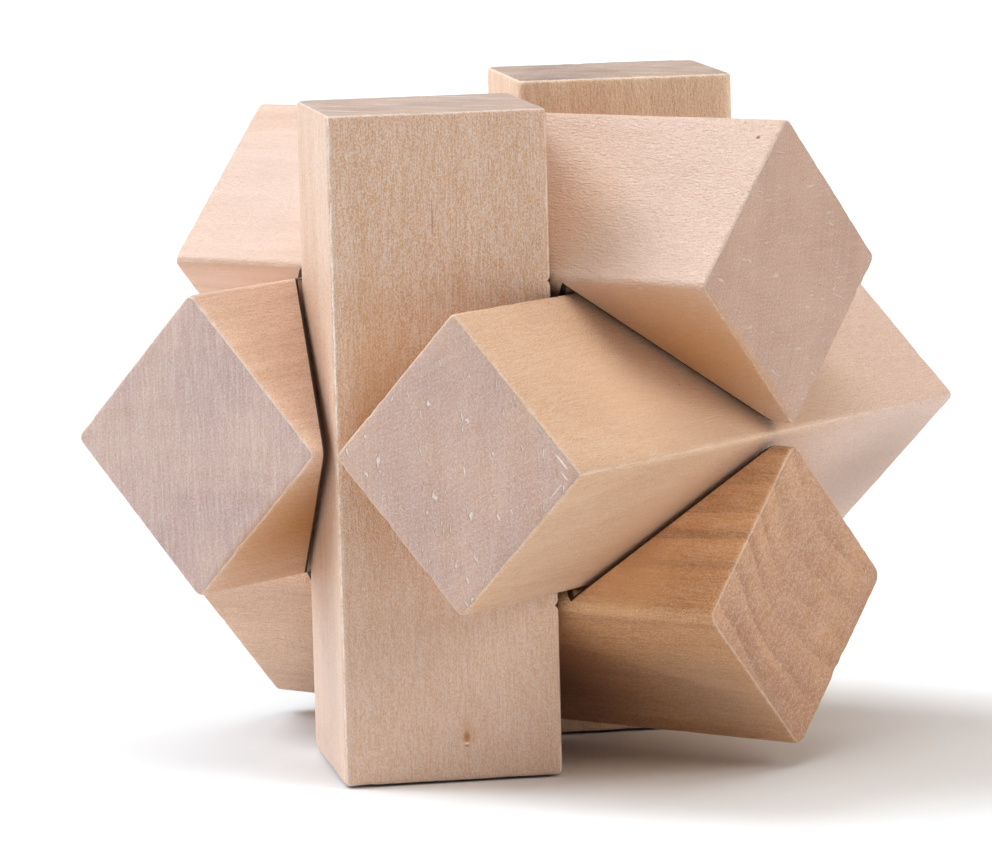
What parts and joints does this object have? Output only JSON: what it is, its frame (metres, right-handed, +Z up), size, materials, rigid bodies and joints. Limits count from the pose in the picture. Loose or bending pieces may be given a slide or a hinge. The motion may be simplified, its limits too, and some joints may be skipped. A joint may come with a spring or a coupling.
{
  "type": "burr puzzle",
  "caption": "Diagonal burr puzzle: square wooden bars turned corner-up, notched and locked together in three crossing pairs.",
  "frame": {"origin": "on the table that the burr stands on, midway between the feet of the two uprights", "axes": "+X along the cross bars, +Y along the through bars from front to back, +Z up along the uprights"},
  "size_m": [0.061, 0.0612, 0.062],
  "materials": {
    "upper_cross_wood": "sanded, unvarnished",
    "lower_cross_wood": "sanded, unvarnished",
    "right_through_wood": "sanded, unvarnished",
    "left_through_wood": "sanded, unvarnished",
    "rear_upright_wood": "sanded, unvarnished",
    "front_upright_wood": "sanded, unvarnished"
  },
  "bodies": {
    "lower_cross": {"lower_cross_bar": "lower_cross_wood"},
    "upper_cross": {"upper_cross_bar": "upper_cross_wood"},
    "right_through": {"right_through_bar": "right_through_wood"},
    "left_through": {"left_through_bar": "left_through_wood"},
    "rear_upright": {"rear_upright_bar": "rear_upright_wood"},
    "front_upright": {"front_upright_bar": "front_upright_wood"}
  },
  "joints": [
    {"name": "upper_cross_slide", "type": "slide", "parent": "lower_cross", "child": "upper_cross", "axis": [0, 0, 1], "range_m": [0, 0.028]},
    {"name": "right_through_slide", "type": "slide", "parent": "lower_cross", "child": "right_through", "axis": [0.7071, 0, 0.7071], "range_m": [0, 0.0198]},
    {"name": "left_through_slide", "type": "slide", "parent": "lower_cross", "child": "left_through", "axis": [-0.7071, 0, 0.7071], "range_m": [0, 0.0198]},
    {"name": "rear_upright_slide", "type": "slide", "parent": "lower_cross", "child": "rear_upright", "axis": [0, 0.7071, 0.7071], "range_m": [0, 0.0198]},
    {"name": "front_upright_slide", "type": "slide", "parent": "lower_cross", "child": "front_upright", "axis": [0, -0.7071, 0.7071], "range_m": [0, 0.0198]}
  ],
  "couplings": [
    {"joint": "right_through_slide", "follows": "upper_cross_slide", "ratio": 0.70711},
    {"joint": "left_through_slide", "follows": "upper_cross_slide", "ratio": 0.70711},
    {"joint": "rear_upright_slide", "follows": "upper_cross_slide", "ratio": 0.70711},
    {"joint": "front_upright_slide", "follows": "upper_cross_slide", "ratio": 0.70711}
  ]
}
